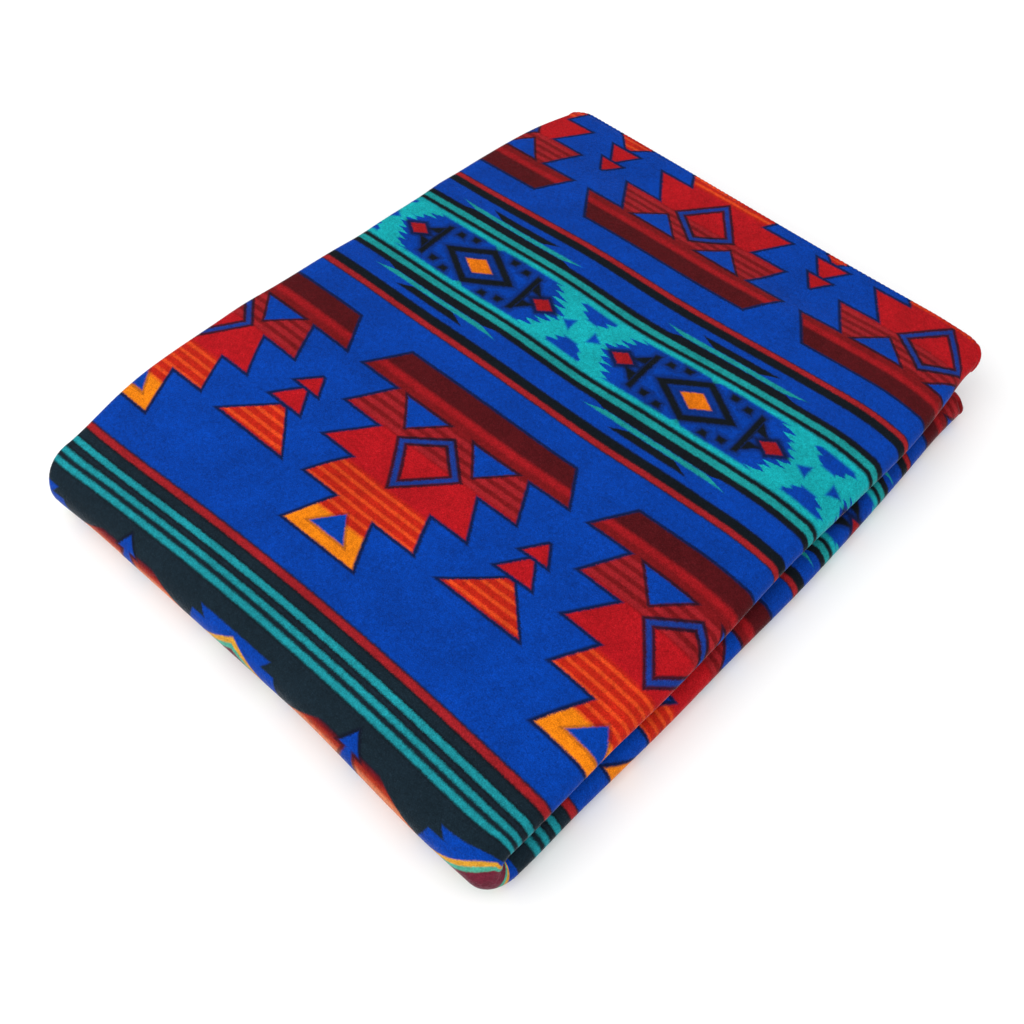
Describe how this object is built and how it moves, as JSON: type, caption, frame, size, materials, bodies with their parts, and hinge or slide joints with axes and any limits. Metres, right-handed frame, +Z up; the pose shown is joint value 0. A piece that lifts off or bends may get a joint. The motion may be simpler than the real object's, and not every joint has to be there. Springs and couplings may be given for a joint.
{
  "type": "fleece blanket",
  "caption": "Printed fleece blanket, folded into a flat stack of layers with soft rounded folds, for a bed, sofa or shelf.",
  "frame": {"origin": "middle of the underside", "axes": "+Z up, +X towards the double nose of the quarter fold, along the printed stripes, -Y towards the half fold, +Y towards the hems"},
  "size_m": [0.3589, 0.4489, 0.0416],
  "materials": {
    "printed_fleece": "soft brushed pile with a geometric band print in blue, black, teal, red and orange"
  },
  "bodies": {
    "root": {"fleece_blanket": "printed_fleece"}
  },
  "joints": []
}
